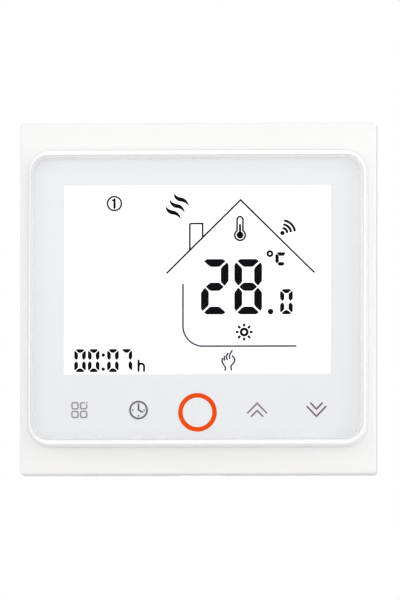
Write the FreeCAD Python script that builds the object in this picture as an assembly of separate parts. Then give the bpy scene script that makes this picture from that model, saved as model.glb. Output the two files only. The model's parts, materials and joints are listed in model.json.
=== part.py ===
"""Flush-mounted wall thermostat: a display unit that pulls off a power unit sunk in the wall.

Millimetres. X is to the right and Z up as the user sees it; the user looks along +Y.
The wall is the plane y = 0 and the origin is the middle of the two wall screw slots.
The display unit stands in front of the wall (negative y), the power box is sunk in it (positive y).
"""

import math
import os

import FreeCAD
import Part

V = FreeCAD.Vector
OUT = "parts"

# Driving dimensions of the display unit
FACE_W, FACE_H = 86.0, 84.9      # outer frame
FACE_Z = 0.4                # middle of the frame, housing and lens, above the wall screws
FRAME_FRONT = -8.3          # y of the frame's front face
FRAME_REAR = -0.3           # y of the frame's rear rim, just off the wall
FRAME_WALL = 1.3
FRAME_SKIN = 1.8            # thickness behind the front face
FRAME_CORNER = 0.8
FRAME_EDGE = 0.5
CATCH_RIB_Y = (-5.0, -4.2)  # ribs inside the skirt that hold the frame on the housing's flange
FRAME_CLEARANCE = 0.02      # all round the housing
LEDGE_FRONT, LEDGE_REACH = -7.6, 0.3        # ledge of the housing, behind the lip round the aperture
LENS_W, LENS_H = 80.3, 68.8
LENS_CORNER = 4.4
LENS_FRONT, LENS_REAR = -13.3, -11.5
LENS_EDGE = 1.1             # rounding of the lens's front edge
HOUSING_SIDE, HOUSING_END = 0.9, 1.55       # how far its foot stands outside the lens, in X and in Z
HOUSING_DRAFT = 0.4         # how much it narrows on each side, from the foot to the front
HOUSING_EDGE = 0.35         # rounding of its front edge
HOUSING_FRONT = -12.8
SHELF_FRONT, SHELF_REAR = -11.1, -9.9
FLANGE_FRONT, FLANGE_REAR = -6.5, -5.1
MASK_FRONT, MASK_REAR = -11.4, -11.2
ADHESIVE_REAR = SHELF_FRONT
WINDOW_W, WINDOW_H = 64.2, 45.5
WINDOW_Z = 4.7              # middle of the display window
KEY_Z = -27.2
KEY_PITCH = 14.3
KEYS = 5

# Display stack, each layer as (front, rear)
POLARISER_Y = (-11.1, -10.9)
FRONT_GLASS_Y = (-10.9, -10.2)
REAR_GLASS_Y = (-10.2, -9.5)
REAR_POLARISER_Y = (-9.5, -9.3)
DIFFUSER_Y = (-9.3, -9.1)
GUIDE_Y = (-9.1, -7.3)
REFLECTOR_Y = (-7.3, -7.1)
BOARD_Y = (-6.9, -5.7)
COVER_Y = (-3.0, -2.0)
COVER_SCREW_X, COVER_SCREW_Z = 30.0, 38.2
GLASS_W, GLASS_H = 67.0, 48.5
LEDGE = 2.45                # rear glass below the front glass, where the pins clip on
BOARD_W, BOARD_H = 77.8, 66.8

# Driving dimensions of the power unit
PLATE = 76.0
PLATE_T = 1.0
PAD = 53.0                  # middle of the plate, pressed towards the user
PAD_FRONT, PAD_REAR = -1.6, -0.6
SLOT_X = 30.0               # wall screws 60 mm apart
SLOT_R, SLOT_LENGTH = 2.1, 6.0
TAB_X, TAB_Z, TAB_W, TAB_FRONT = 18.0, 37.2, 10.0, -4.6
TAB_T = 0.8
NOTCH_W, NOTCH_REAR = 4.0, -2.6     # open notch in each tab for the display unit's catch
BOX_HALF, BOX_CUT = 25.25, 9.5
BOX_REAR = 28.7
BOX_WALL = 1.6
LID_Y = (-0.5, 0.9)
POWER_BOARD_Y = (4.0, 5.6)
BOX_SCREWS = [(-15.5, 20.4), (15.5, 20.4), (-19.5, -12.5), (19.5, -12.5)]
BOSS_R = 2.3
SCREW_R = 1.2
HEADER_Z = 20.0
HEADER_PITCH, HEADER_PINS = 2.54, 8

# Terminals
POLES = 6
POLE_PITCH = 5.08
BLOCK_HALF_W = 15.3
BLOCK_Z = (-25.2, -14.2)
BLOCK_Y = (5.6, 19.0)
RECESS_Z = -13.2            # below this the box is cut back to a step for the terminals
RECESS_FLOOR = 17.5
CLAMP_W, CLAMP_WALL = 3.9, 0.7
CLAMP_Z = (-24.0, -18.6)
CLAMP_Y = (7.0, 13.2)
CLAMP_FLOOR, CLAMP_NUT = 0.8, 1.5
TERMINAL_Z = -21.3          # axis of the terminal screws
THREAD_R, THREAD_CLEARANCE = 1.2, 0.05
HEAD_Y = (16.0, 18.0)
HEAD_R = 1.85
BAR_Y = (10.7, 11.5)

# Relay, laid out on the power board
RELAY_X = (-20.5, -1.5)
RELAY_Z = (1.5, 17.0)
RELAY_H = 15.4
RELAY_BASE = 1.6
RELAY_SKIN = 0.6
ARMATURE_PIVOT = (-18.8, 17.2)      # (x, y) of the armature's knife edge
ARMATURE_GAP = 0.45                 # air gap over the core
CONTACT_X = -5.2
ANVIL_TOP = 16.74
COIL_X = -12.6
COIL_R = 4.6


def box(x, y, z):
    """A block between the two values of each pair."""
    return Part.makeBox(x[1] - x[0], y[1] - y[0], z[1] - z[0], V(x[0], y[0], z[0]))


def round_bar(x, z, radius, y0, y1):
    """A cylinder along Y."""
    return Part.makeCylinder(radius, y1 - y0, V(x, y0, z), V(0, 1, 0))


def cone(x, z, r0, r1, y0, y1):
    return Part.makeCone(r0, r1, y1 - y0, V(x, y0, z), V(0, 1, 0))


def around(middle, size):
    """A pair of values centred on middle."""
    return (middle - size / 2, middle + size / 2)


def outline(width, height, radius, y, x=0.0, z=0.0):
    """A closed rounded rectangle in the plane at y."""
    a, b, r = width / 2, height / 2, radius
    edges = []
    corners = [(a - r, b - r, 0), (-a + r, b - r, 90), (-a + r, -b + r, 180), (a - r, -b + r, 270)]
    points = []
    for cx, cz, start in corners:
        arc = [math.radians(start + step) for step in (0, 45, 90)]
        points.append([V(x + cx + r * math.cos(t), y, z + cz + r * math.sin(t)) for t in arc])
    for number, (first, middle, last) in enumerate(points):
        edges.append(Part.Arc(first, middle, last).toShape())
        edges.append(Part.LineSegment(last, points[(number + 1) % 4][0]).toShape())
    return Part.Wire(edges)


def slab(width, height, radius, y, x=0.0, z=0.0):
    """A plate with rounded corners between the two values of y."""
    return Part.Face(outline(width, height, radius, y[0], x, z)).extrude(V(0, y[1] - y[0], 0))


def octagon(half, cut, y):
    """A square prism with its corners cut off."""
    a, c = half, half - cut
    points = [(a, c), (c, a), (-c, a), (-a, c), (-a, -c), (-c, -a), (c, -a), (a, -c), (a, c)]
    wire = Part.makePolygon([V(px, y[0], pz) for px, pz in points])
    return Part.Face(wire).extrude(V(0, y[1] - y[0], 0))


def profile(points, x):
    """A solid with a closed (y, z) section, between the two values of x."""
    wire = Part.makePolygon([V(x[0], py, pz) for py, pz in points + points[:1]])
    return Part.Face(wire).extrude(V(x[1] - x[0], 0, 0))


def edges_at(shape, y, tolerance=0.01):
    """The edges that lie wholly in the plane at y."""
    return [e for e in shape.Edges
            if abs(e.BoundBox.YMin - y) < tolerance and abs(e.BoundBox.YMax - y) < tolerance]


def mirrored(points):
    """Each (x, z) in all four quadrants."""
    return [(sx * px, sz * pz) for px, pz in points for sx in (-1, 1) for sz in (-1, 1)]


def save(name, *solids):
    """Writes one STEP that holds these solids."""
    flat = [s for shape in solids for s in shape.Solids]
    for solid in flat:
        assert solid.isValid() and solid.Volume > 0, name
    shape = flat[0] if len(flat) == 1 else Part.makeCompound(flat)
    shape.exportStep(os.path.join(OUT, name + ".step"))


# ---------------------------------------------------------------- display unit

def outer_frame():
    """Flat frame: front skin, skirt, vent slots, pry notch and the aperture for the housing."""
    body = slab(FACE_W, FACE_H, FRAME_CORNER, (FRAME_FRONT, FRAME_REAR))
    body = body.makeFillet(FRAME_EDGE, edges_at(body, FRAME_FRONT))
    inner_w, inner_h = inside_frame(0.0)
    body = body.cut(slab(inner_w, inner_h, 0.5, (FRAME_FRONT + FRAME_SKIN, FRAME_REAR + 1)))
    for side, other in mirrored([(1, 1)]):
        reach_x = sorted((side * (inner_w / 2 - 0.5), side * (inner_w / 2 + 0.1)))
        reach_z = sorted((side * (inner_h / 2 - 0.5), side * (inner_h / 2 + 0.1)))
        body = body.fuse(box(around(other * 36.0, 5.0), CATCH_RIB_Y, reach_z))
        body = body.fuse(box(reach_x, CATCH_RIB_Y, around(other * 20.0, 8.0)))
    for number in range(7):
        x = around((number - 3) * 9.0, 5.5)
        for side in (-1, 1):
            body = body.cut(box(x, (-4.9, -3.9), around(side * FACE_H / 2, 4.0)))
    body = body.cut(box((-5.0, 5.0), (-1.4, 0.0), (-FACE_H / 2 - 1, -FACE_H / 2 + FRAME_WALL + 0.5)))
    body.translate(V(0, 0, FACE_Z))
    lip = housing_outline_size(FRAME_CLEARANCE)
    body = body.cut(slab(*lip, (FRAME_FRONT - 1, FRAME_FRONT + FRAME_SKIN + 1), z=FACE_Z))
    rebate = housing_outline_size(LEDGE_REACH + FRAME_CLEARANCE)
    return body.cut(slab(*rebate, (LEDGE_FRONT - FRAME_CLEARANCE, FRAME_FRONT + FRAME_SKIN), z=FACE_Z))


def inside_frame(clearance):
    """Width and height between the frame's walls, less a clearance on each side."""
    return [size - 2 * (FRAME_WALL + clearance) for size in (FACE_W, FACE_H)]


def housing_outline_size(margin):
    """Width, height and corner radius of an outline this far outside the housing's foot."""
    side, end = HOUSING_SIDE + margin, HOUSING_END + margin
    return LENS_W + 2 * side, LENS_H + 2 * end, LENS_CORNER + (side + end) / 2


def display_housing():
    """Raised shell: rounded rim, ledge and flange for the frame, recess for the lens, display window."""
    foot = outline(*housing_outline_size(0.0), FRAME_FRONT, z=FACE_Z)
    rim = outline(*housing_outline_size(-HOUSING_DRAFT), HOUSING_FRONT, z=FACE_Z)
    raised = Part.makeLoft([foot, rim], True, True)
    raised = raised.makeFillet(HOUSING_EDGE, edges_at(raised, HOUSING_FRONT))
    neck = slab(*housing_outline_size(0.0), (FRAME_FRONT, FLANGE_REAR), z=FACE_Z)
    ledge = slab(*housing_outline_size(LEDGE_REACH), (LEDGE_FRONT, FLANGE_FRONT), z=FACE_Z)
    flange = slab(*inside_frame(0.15), 1.0, (FLANGE_FRONT, FLANGE_REAR), z=FACE_Z)
    body = raised.fuse(neck).fuse(ledge).fuse(flange)
    for x, z in cover_screw_places():
        body = body.fuse(round_bar(x, z, 2.0, FLANGE_REAR - 0.5, COVER_Y[0]))
    lens_gap = 0.04
    recess = slab(LENS_W + lens_gap, LENS_H + lens_gap, LENS_CORNER, (HOUSING_FRONT - 1, SHELF_FRONT),
                  z=FACE_Z)
    cavity = slab(BOARD_W + 0.8, BOARD_H + 0.8, 3.0, (SHELF_REAR, 0))
    window = box((-34.0, 34.0), (SHELF_FRONT - 1, SHELF_REAR + 1), (-22.9, 29.6))
    body = body.cut(recess).cut(cavity).cut(window)
    for x in key_places():
        body = body.cut(round_bar(x, KEY_Z, 3.8, SHELF_FRONT - 1, SHELF_REAR + 1))
    for x, z in cover_screw_places():
        body = body.cut(round_bar(x, z, 0.85, FLANGE_FRONT + 0.4, COVER_Y[0] + 1))
    return body.removeSplitter()


def cover_screw_places():
    return [(x, FACE_Z + z) for x, z in mirrored([(COVER_SCREW_X, COVER_SCREW_Z)])]


def key_places():
    return [(number - (KEYS - 1) / 2) * KEY_PITCH for number in range(KEYS)]


def front_lens():
    lens = slab(LENS_W, LENS_H, LENS_CORNER - 0.05, (LENS_FRONT, LENS_REAR), z=FACE_Z)
    return lens.makeFillet(LENS_EDGE, edges_at(lens, LENS_FRONT))


def printed_mask():
    film = slab(LENS_W - 0.1, LENS_H - 0.1, LENS_CORNER - 0.05, (MASK_FRONT, MASK_REAR), z=FACE_Z)
    return film.cut(slab(WINDOW_W, WINDOW_H, 0.3, (MASK_FRONT - 1, MASK_REAR + 1), z=WINDOW_Z))


def lens_adhesive():
    """Tape ring that holds the film and lens down on the shelf."""
    ring = slab(LENS_W - 0.6, LENS_H - 0.6, LENS_CORNER - 0.3, (MASK_REAR, ADHESIVE_REAR), z=FACE_Z)
    ring = ring.cut(box((-34.4, 34.4), (-12, -10), (-23.0, 30.2)))
    for x in key_places():
        ring = ring.cut(round_bar(x, KEY_Z, 3.9, -12, -10))
    return ring


def display_glass():
    """Both glass plates of the display, the rear one with a ledge for the pins."""
    front = slab(GLASS_W, GLASS_H, 0.2, FRONT_GLASS_Y, z=WINDOW_Z)
    rear = slab(GLASS_W, GLASS_H + LEDGE, 0.2, REAR_GLASS_Y, z=WINDOW_Z - LEDGE / 2)
    return front, rear


def polarisers():
    size = (GLASS_W - 0.8, GLASS_H - 0.8, 0.2)
    return slab(*size, POLARISER_Y, z=WINDOW_Z), slab(*size, REAR_POLARISER_Y, z=WINDOW_Z)


def backlight_layers():
    """Diffuser, light guide and reflector, under the glass."""
    size = (66.0, 48.0, 0.3)
    return [slab(*size, y, z=WINDOW_Z - 0.9) for y in (DIFFUSER_Y, GUIDE_Y, REFLECTOR_Y)]


def backlight_frame():
    """Moulded ring round the light guide, standing on the board."""
    height = (-21.4, 30.2)
    ring = box((-35.0, 35.0), (REAR_POLARISER_Y[0] + 0.1, BOARD_Y[0]), height)
    ring = ring.cut(box((-33.7, 33.7), (-12, -7.0), (-20.3, 29.2)))
    ring = ring.cut(box((-30.0, 30.0), (-12, 0), (-17.0, 26.0)))
    for x in (-34.5, 34.5):
        for z in (-15.0, 24.0):
            ring = ring.cut(box(around(x, 1.2), (-10, -8.6), around(z, 5.0)))
    return ring.cut(box((-40, 40), (-10, -9.2), (-30, -20.2)))


def backlight_leds():
    """Side-firing lamps between the guide's top edge and its frame."""
    return [box(around(x, 3.2), (-8.6, -7.4), (27.95, 29.1)) for x in (-24.0, -8.0, 8.0, 24.0)]


def lcd_pins():
    """Bent pins, clipped on the rear glass's ledge and soldered through the board."""
    section = [(-10.55, -20.6), (-10.55, -22.55), (-4.9, -22.55), (-4.9, -22.25), (-10.2, -22.25),
               (-10.2, -20.6)]
    return [profile(section, around((number - 15) * 2.0, 0.45)) for number in range(31)]


def display_board():
    """Board with the pin holes, the sensor slot and four corner holes for the locating pegs."""
    board = slab(BOARD_W, BOARD_H, 2.5, BOARD_Y)
    holes = [round_bar((number - 15) * 2.0, -22.4, 0.4, -8, -5) for number in range(31)]
    holes += [round_bar(x, z, 1.05, -8, -5) for x, z in mirrored([(36.4, 31.4)])]
    return board.cut(Part.makeCompound(holes))


def coil_spring(x, z, radius, wire, y0, y1, turns):
    """A touch electrode: an open coil, lofted through rings of wire round a helix along Y."""
    steps = 10
    slope = (y1 - y0 - wire) / (turns * 2 * math.pi)
    rings = []
    for step in range(turns * steps + 1):
        turn = 2 * math.pi * step / steps
        at = V(x + radius * math.cos(turn), y0 + wire / 2 + slope * turn, z + radius * math.sin(turn))
        along = V(-radius * math.sin(turn), slope, radius * math.cos(turn))
        rings.append(Part.Wire(Part.makeCircle(wire / 2, at, along)))
    return Part.makeLoft(rings, True, True)


def touch_springs():
    """One spring per key, pressed between the board and the back of the film."""
    return [coil_spring(x, KEY_Z, 3.0, 0.5, MASK_REAR + 0.02, BOARD_Y[0] - 0.02, 4)
            for x in key_places()]


def flat_chip(x, z, size, y, leads, pitch):
    """A chip with leads on all four sides, on the rear face of a board at y."""
    body = box(around(x, size), (y + 0.15, y + 1.45), around(z, size))
    parts = [body]
    for number in range(leads):
        step = (number - (leads - 1) / 2) * pitch
        for side in (-1, 1):
            reach = (side * size / 2, side * (size / 2 + 0.9))
            span = (min(reach), max(reach))
            parts.append(box((x + span[0], x + span[1]), (y, y + 0.3), around(z + step, 0.28)))
            parts.append(box(around(x + step, 0.28), (y, y + 0.3), (z + span[0], z + span[1])))
    return parts


def control_chips():
    """Processor, display driver, clock crystal and regulator on the display board."""
    rear = BOARD_Y[1]
    crystal = slab(8.0, 3.2, 1.55, (rear, rear + 2.3), x=-4.0, z=-14.0)
    regulator = box((22.0, 26.5), (rear, rear + 1.6), (-16.5, -13.0))
    return [*flat_chip(-16.0, -10.0, 9.0, rear, 12, 0.65), *flat_chip(16.5, 22.5, 7.0, rear, 8, 0.75),
            crystal, regulator]


def wifi_module():
    """Castellated radio board and the can over its chips."""
    rear = BOARD_Y[1]
    board = box((11.5, 29.5), (rear, rear + 0.8), (-7.0, 15.0))
    can = box((13.0, 28.0), (rear + 0.8, rear + 2.4), (-6.0, 8.0))
    return board, can


def small_components():
    """Chip resistors and capacitors on the display board's rear face."""
    rear = BOARD_Y[1]
    rows = [(-30.0, 20.0, 7, 3.0), (-6.0, -20.0, 6, 2.6), (-30.0, -6.0, 3, 3.2), (2.0, 27.0, 4, 2.8)]
    made = []
    for x, z, count, pitch in rows:
        for number in range(count):
            made.append(box(around(x + number * pitch, 1.25), (rear, rear + 0.6), around(z, 2.0)))
    return made


def temperature_sensor():
    """Thermistor bead behind the bottom vents, on two bent leads."""
    bead = Part.makeSphere(0.9, V(0, -4.05, -38.6))
    made = []
    for x in (-0.4, 0.4):
        points = [(-5.7, -32.6), (-4.2, -32.6), (-4.2, -38.6), (-3.9, -38.6), (-3.9, -32.3),
                  (-5.7, -32.3)]
        made.append(profile(points, around(x, 0.3)).cut(bead))
    return [bead, *made]


def board_socket():
    """Socket strip on the display board, facing the power unit."""
    length = HEADER_PINS * HEADER_PITCH + 0.6
    body = box(around(0, length), (BOARD_Y[1], -0.2), around(HEADER_Z, 4.6))
    holes = [box(around(x, 0.9), (-5.0, 1), around(HEADER_Z, 0.9)) for x in header_places()]
    return body.cut(Part.makeCompound(holes))


def header_places():
    return [(number - (HEADER_PINS - 1) / 2) * HEADER_PITCH for number in range(HEADER_PINS)]


def rear_cover():
    """Back of the display unit: openings for the wall screws' heads, the socket and the plate's tabs."""
    cover = slab(*inside_frame(0.15), 0.8, COVER_Y, z=FACE_Z)
    for x, z in mirrored([(36.4, 31.4)]):
        cover = cover.fuse(round_bar(x, z, 1.8, BOARD_Y[1], COVER_Y[0]))
        cover = cover.fuse(round_bar(x, z, 0.95, BOARD_Y[0] + 0.3, BOARD_Y[1]))
    rim = slab(76.0, 66.0, 2.0, (-4.2, COVER_Y[0])).cut(slab(73.6, 63.6, 1.2, (-5, -2.5)))
    for x, z in mirrored([(36.4, 31.4)]):
        rim = rim.cut(round_bar(x, z, 1.8, -6, 0))
    cover = cover.fuse(rim)
    cover = cover.fuse(Part.makeCompound(catches()))
    cutters = [slab(12.0, 10.0, 2.0, (-6, 0), x=side * SLOT_X) for side in (-1, 1)]
    cutters.append(box((-1.5, 1.5), (-6, COVER_Y[0]), (-35, -31)))
    cutters.append(box(around(0, 22.0), (-6, 0), around(HEADER_Z, 5.6)))
    for x, z in mirrored([(TAB_X, TAB_Z)]):
        cutters.append(box(around(x, TAB_W + 1.0), (COVER_Y[0], 0), around(z, TAB_T + 0.7)))
    for number in range(6):
        cutters.append(box(around(-8.0, 16.0), (-3.5, 0), around(-10.0 - number * 3.2, 1.4)))
    for x, z in cover_screw_places():
        cutters.append(round_bar(x, z, 1.05, -4, 0))
        cutters.append(cone(x, z, 1.05, 1.95, COVER_Y[0] + 0.1, COVER_Y[1]))
    for cutter in cutters:
        cover = cover.cut(cutter)
    return cover.removeSplitter()


def catches():
    """Tongues on the rear cover whose nibs sit in the notches of the mounting plate's tabs."""
    made = []
    for x, side in [(sx * TAB_X, sz) for sx in (-1, 1) for sz in (-1, 1)]:
        root = sorted((side * (TAB_Z - 2.0), side * (TAB_Z - TAB_T / 2 - 0.4)))
        nib = sorted((side * (TAB_Z - 1.5), side * (TAB_Z + 0.1)))
        made.append(box(around(x, 3.0), (TAB_FRONT, COVER_Y[0] + 0.1), root))
        made.append(box(around(x, 2.4), (TAB_FRONT + 0.3, NOTCH_REAR - 0.6), nib))
    return made


def countersunk_screw(x, z, shank_r, head_r, tip, head, direction):
    """Self-tapping screw along Y with a cross recess; direction is the way from tip to head."""
    length = abs(head - tip)
    cone_h = head_r - shank_r
    point = 1.0
    shank = Part.makeCylinder(shank_r, length - cone_h - point, V(0, point, 0), V(0, 1, 0))
    tip_cone = Part.makeCone(0.25, shank_r, point, V(0, 0, 0), V(0, 1, 0))
    head_cone = Part.makeCone(shank_r, head_r, cone_h, V(0, length - cone_h, 0), V(0, 1, 0))
    body = shank.fuse(tip_cone).fuse(head_cone)
    depth = 0.7
    for width, height in ((1.9, 0.45), (0.45, 1.9)):
        body = body.cut(box(around(0, width), (length - depth, length + 1), around(0, height)))
    if direction < 0:
        body.rotate(V(0, 0, 0), V(1, 0, 0), 180)
    body.translate(V(x, tip, z))
    return body.removeSplitter()


def cover_screws():
    return [countersunk_screw(x, z, 0.8, 1.7, -6.0, COVER_Y[1], 1) for x, z in cover_screw_places()]


# ---------------------------------------------------------------- power unit

def mounting_plate():
    """Pressed steel plate: flat rim on the wall, pad for the power box, tabs that the display unit grips."""
    rim = slab(PLATE, PLATE, 3.0, (-PLATE_T, 0)).cut(slab(51.0, 51.0, 1.0, (-3, 1)))
    pad = slab(PAD, PAD, 2.0, (PAD_FRONT, PAD_REAR))
    plate = rim.fuse(pad)
    for x, z in mirrored([(TAB_X, TAB_Z)]):
        tab = box(around(x, TAB_W), (TAB_FRONT, -PLATE_T), around(z, TAB_T))
        tab = tab.cut(box(around(x, NOTCH_W), (TAB_FRONT - 1.0, NOTCH_REAR), around(z, 3.0)))
        plate = plate.fuse(tab)
    cutters = []
    for side in (-1, 1):
        cutters.append(slab(SLOT_LENGTH, 2 * SLOT_R, SLOT_R - 1e-4, (-3, 1), x=side * SLOT_X))
        cutters.append(slab(12.0, 3.0, 1.2, (-3, 1), z=side * 31.5))
    cutters.append(box(around(0, 23.0), (-3, 1), around(HEADER_Z, 6.4)))
    for x, z in BOX_SCREWS:
        cutters.append(round_bar(x, z, SCREW_R + 0.1, -3, 1))
        cutters.append(cone(x, z, 2.3, SCREW_R + 0.1, PAD_FRONT, PAD_REAR - 0.05))
    for cutter in cutters:
        plate = plate.cut(cutter)
    return plate.removeSplitter()


def power_box():
    """Octagonal casing that fits a 60 mm wall box, with a step for the terminals and vent slots."""
    inside = BOX_HALF - BOX_WALL
    inside_cut = BOX_CUT - BOX_WALL * (2 - math.sqrt(2))
    outer = octagon(BOX_HALF, BOX_CUT, (PAD_REAR, BOX_REAR))
    hollow = octagon(inside, inside_cut, (PAD_REAR - 1, BOX_REAR - BOX_WALL))
    shell = outer.cut(hollow)
    # the step is solid first, then its recess is cut out, which leaves the step's own walls
    step = box((-BOX_HALF, BOX_HALF), (RECESS_FLOOR - BOX_WALL, BOX_REAR), (-BOX_HALF, RECESS_Z + BOX_WALL))
    shell = shell.fuse(step.common(outer))
    for x, z in BOX_SCREWS:
        shell = shell.fuse(round_bar(x, z, BOSS_R, LID_Y[1], BOX_REAR - BOX_WALL + 0.1))
    cutters = [box((-30, 30), (RECESS_FLOOR, BOX_REAR + 1), (-30, RECESS_Z)),
               box(around(0, 2 * BLOCK_HALF_W + 0.2), (BLOCK_Y[0] - 1.8, RECESS_FLOOR + 1),
                   (-30, BLOCK_Z[1] + 0.1))]
    cutters += [round_bar(x, z, 1.0, 0, 12) for x, z in BOX_SCREWS]
    for side in (-1, 1):
        shell = shell.fuse(box(sorted((side * 22.4, side * 23.8)), (POWER_BOARD_Y[1], 12.0), (3.0, 6.0)))
    for number in range(5):
        cutters.append(box(around(0, 20.0), (BOX_REAR - 3, BOX_REAR + 1), around(-5.0 + number * 5.0, 1.6)))
    for side in (-1, 1):
        for number in range(4):
            cutters.append(box((side * BOX_HALF - 3, side * BOX_HALF + 3), (11.0, 21.0),
                               around(-6.0 + number * 5.0, 1.6)))
    for cutter in cutters:
        shell = shell.cut(cutter)
    return shell.removeSplitter()


def insulating_lid():
    """Cover between the plate and the live side of the power board."""
    half = BOX_HALF - BOX_WALL - 0.15
    lid = octagon(half, BOX_CUT - BOX_WALL * (2 - math.sqrt(2)), LID_Y)
    lid = lid.cut(box(around(0, 22.0), (-2, 2), around(HEADER_Z, 5.6)))
    for x, z in BOX_SCREWS:
        lid = lid.cut(round_bar(x, z, SCREW_R + 0.1, -2, 2))
    for side in (-1, 1):
        leg = box(around(side * 12.0, 8.0), (LID_Y[1], POWER_BOARD_Y[0]), around(-2.0, 1.2))
        lid = lid.fuse(leg)
    return lid.removeSplitter()


def box_screws():
    return [countersunk_screw(x, z, 0.98, 2.1, 9.0, PAD_FRONT + 0.05, -1) for x, z in BOX_SCREWS]


def power_board():
    """Board inside the power box, notched round the bosses."""
    half = BOX_HALF - BOX_WALL - 0.3
    board = octagon(half, BOX_CUT - 0.6, POWER_BOARD_Y)
    for x, z in BOX_SCREWS:
        board = board.cut(round_bar(x, z, BOSS_R + 0.2, 3, 7))
    holes = [round_bar(x, HEADER_Z, 0.5, 3, 7) for x in header_places()]
    holes += [box(around(x, 1.4), (3, 7), around(-16.8, 1.2)) for x in pole_places()]
    return board.cut(Part.makeCompound(holes))


def header():
    """Pin strip on the power board's front face: plastic base and square pins."""
    length = HEADER_PINS * HEADER_PITCH
    base = box(around(0, length), (1.5, POWER_BOARD_Y[0]), around(HEADER_Z, 2.5))
    base = base.cut(Part.makeCompound([box(around(x, 0.64), (0, 7), around(HEADER_Z, 0.64))
                                       for x in header_places()]))
    pins = [box(around(x, 0.64), (-4.6, 6.8), around(HEADER_Z, 0.64)) for x in header_places()]
    return base, pins


def pole_places():
    return [(number - (POLES - 1) / 2) * POLE_PITCH for number in range(POLES)]


def terminal_block():
    """Moulding with a cell, a wire mouth and a screw shaft for each pole."""
    block = box(around(0, 2 * BLOCK_HALF_W), BLOCK_Y, BLOCK_Z)
    cutters = []
    for x in pole_places():
        cutters.append(box(around(x, CLAMP_W + 0.2), (6.8, 15.6), (CLAMP_Z[0] - 0.2, CLAMP_Z[1] + 0.2)))
        cutters.append(box(around(x, 2.5), (10.6, 11.6), (CLAMP_Z[1], -16.2)))
        cutters.append(box(around(x, 1.4), (0, 11.6), (-17.4, -16.2)))
        cutters.append(box(around(x, 3.2), (7.6, 11.2), (BLOCK_Z[0] - 1, CLAMP_Z[0])))
        cutters.append(round_bar(x, TERMINAL_Z, THREAD_R + 0.2, 15, 17))
        cutters.append(round_bar(x, TERMINAL_Z, HEAD_R + 0.15, HEAD_Y[0] - 0.05, BLOCK_Y[1] + 1))
    for cutter in cutters:
        block = block.cut(cutter)
    return block.removeSplitter()


def terminal_contacts():
    """Brass bar in each clamp, bent down to a leg through the board."""
    made = []
    for x in pole_places():
        bar = box(around(x, 2.3), BAR_Y, (CLAMP_Z[0] + 0.1, -16.4))
        leg = box(around(x, 1.1), (2.6, BAR_Y[0]), (-17.2, -16.4))
        made.append(bar.fuse(leg).removeSplitter())
    return made


def terminal_screw(x):
    """Slotted screw that stays at one height while the clamp climbs its thread."""
    shank = round_bar(x, TERMINAL_Z, THREAD_R, BAR_Y[1] + 0.05, HEAD_Y[0])
    head = round_bar(x, TERMINAL_Z, HEAD_R, *HEAD_Y)
    head = head.makeFillet(0.25, edges_at(head, HEAD_Y[1]))
    slot = box(around(x, 0.6), (HEAD_Y[1] - 0.9, HEAD_Y[1] + 1), around(TERMINAL_Z, 5.0))
    cross = box(around(x, 2.4), (HEAD_Y[1] - 0.9, HEAD_Y[1] + 1), around(TERMINAL_Z, 0.5))
    return shank.fuse(head).cut(slot).cut(cross).removeSplitter()


def wire_clamp(x):
    """Rising clamp: a square tube with a threaded top."""
    body = box(around(x, CLAMP_W), CLAMP_Y, CLAMP_Z)
    inside = box(around(x, CLAMP_W - 2 * CLAMP_WALL), (CLAMP_Y[0] + CLAMP_FLOOR, CLAMP_Y[1] - CLAMP_NUT),
                 (CLAMP_Z[0] - 1, CLAMP_Z[1] + 1))
    thread = round_bar(x, TERMINAL_Z, THREAD_R + THREAD_CLEARANCE, CLAMP_Y[1] - CLAMP_NUT - 1, CLAMP_Y[1] + 1)
    return body.cut(inside).cut(thread)


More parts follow.
